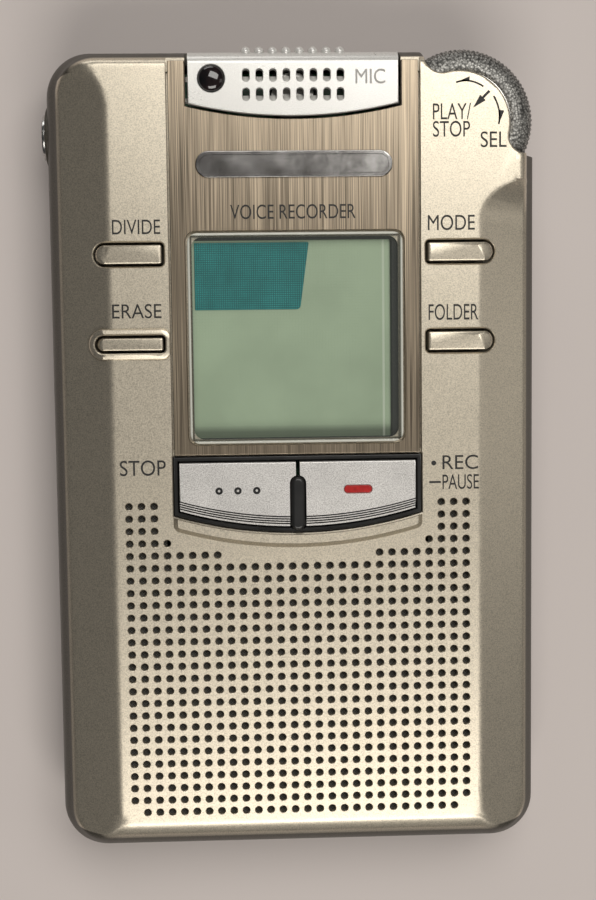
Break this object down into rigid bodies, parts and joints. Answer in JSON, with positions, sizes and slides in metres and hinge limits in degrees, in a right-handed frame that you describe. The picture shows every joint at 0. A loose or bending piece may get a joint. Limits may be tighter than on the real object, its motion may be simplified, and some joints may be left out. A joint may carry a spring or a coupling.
{
  "type": "digital voice recorder",
  "caption": "Slim pocket dictation recorder with a display, stop and record keys, side buttons, a corner jog dial, a drilled speaker grille and a sliding battery door.",
  "frame": {"origin": "middle of the flat back face, under the middle of the casing outline", "axes": "+Z out of the front face, +Y towards the microphone end, +X to the right seen from the front"},
  "size_m": [0.0601, 0.098, 0.0181],
  "materials": {
    "case_paint": "champagne metallic paint on moulded plastic, satin with a fine grain",
    "panel_metal": "anodised bronze, brushed along its length",
    "silver_plastic": "silver metallic satin",
    "chrome": "bright plate, smoked on the badge",
    "black_plastic": "moulded black",
    "gloss_black": "smoked lens, glossy",
    "rubber": "moulded rubber",
    "dial_plastic": "grey metallic, fine knurl round the rim",
    "red_mark": "red paint fill",
    "window_clear": "clear, polished",
    "lcd_glass": "grey-green reflective display",
    "film_teal": "teal film with a fine pixel grid",
    "board_green": "solder mask",
    "chip_black": "moulded package",
    "steel": "nickel plated",
    "cone_paper": "pressed paper cone",
    "cell_jacket": "plain printed jacket"
  },
  "bodies": {
    "case": {"front_case": "case_paint", "rear_case": "case_paint", "display_panel": "panel_metal", "mic_cap": "silver_plastic", "name_badge": "chrome", "transport_bezel": "black_plastic", "lcd_frame": "black_plastic", "jog_guide": "black_plastic", "jog_switch": "black_plastic", "earphone_jack": "black_plastic", "speaker_frame": "black_plastic", "rec_lamp_lens": "gloss_black", "mic_boot": "rubber", "lcd_connector": "rubber", "display_window": "window_clear", "rec_lamp_led": "window_clear", "lcd_module": "lcd_glass", "lcd_tint_film": "film_teal", "main_board": "board_green", "key_board": "board_green", "processor_chip": "chip_black", "memory_chip": "chip_black", "mic_capsule": "steel", "stop_switch": "steel", "rec_switch": "steel", "divide_switch": "steel", "erase_switch": "steel", "mode_switch": "steel", "folder_switch": "steel", "crystal": "steel", "jack_collar": "steel", "speaker_magnet": "steel", "battery_spring_left": "steel", "battery_spring_right": "steel", "contact_link": "steel", "contact_plus": "steel", "contact_minus": "steel", "case_screw_lower_left": "steel", "case_screw_lower_right": "steel", "case_screw_upper_left": "steel", "case_screw_upper_right": "steel", "speaker_cone": "cone_paper", "battery_cell_left": "cell_jacket", "battery_cell_right": "cell_jacket", "capacitor": "cell_jacket"},
    "stop_key": {"stop_button": "silver_plastic"},
    "record_key": {"rec_button": "silver_plastic", "rec_mark": "red_mark"},
    "divide_key": {"divide_button": "case_paint"},
    "erase_key": {"erase_button": "case_paint"},
    "mode_key": {"mode_button": "case_paint"},
    "folder_key": {"folder_button": "case_paint"},
    "jog_slide": {"jog_carriage": "black_plastic", "jog_encoder": "steel", "jog_push_pin": "steel"},
    "jog_wheel": {"jog_dial": "dial_plastic", "jog_trim_ring": "chrome"},
    "battery_cover": {"battery_door": "case_paint"}
  },
  "joints": [
    {"name": "stop_press", "type": "slide", "parent": "case", "child": "stop_key", "axis": [0, 0, -1], "range_m": [0, 0.0004], "stiffness_N_per_m": 1500, "springref_m": -0.0005},
    {"name": "record_press", "type": "slide", "parent": "case", "child": "record_key", "axis": [0, 0, -1], "range_m": [0, 0.0004], "stiffness_N_per_m": 1500, "springref_m": -0.0005},
    {"name": "divide_press", "type": "slide", "parent": "case", "child": "divide_key", "axis": [0, 0, -1], "range_m": [0, 0.0003], "stiffness_N_per_m": 1500, "springref_m": -0.0005},
    {"name": "erase_press", "type": "slide", "parent": "case", "child": "erase_key", "axis": [0, 0, -1], "range_m": [0, 0.0003], "stiffness_N_per_m": 1500, "springref_m": -0.0005},
    {"name": "mode_press", "type": "slide", "parent": "case", "child": "mode_key", "axis": [0, 0, -1], "range_m": [0, 0.0003], "stiffness_N_per_m": 1500, "springref_m": -0.0005},
    {"name": "folder_press", "type": "slide", "parent": "case", "child": "folder_key", "axis": [0, 0, -1], "range_m": [0, 0.0003], "stiffness_N_per_m": 1500, "springref_m": -0.0005},
    {"name": "jog_push", "type": "slide", "parent": "case", "child": "jog_slide", "axis": [-0.7071, -0.7071, 0], "range_m": [0, 0.0008], "stiffness_N_per_m": 1200, "springref_m": -0.0006},
    {"name": "jog_turn", "type": "hinge", "parent": "jog_slide", "child": "jog_wheel", "pos_m": [0.0202, 0.0401, 0.01275], "axis": [0, 0, 1], "continuous": true},
    {"name": "battery_door_slide", "type": "slide", "parent": "case", "child": "battery_cover", "axis": [0, -1, 0], "range_m": [0, 0.05]}
  ]
}
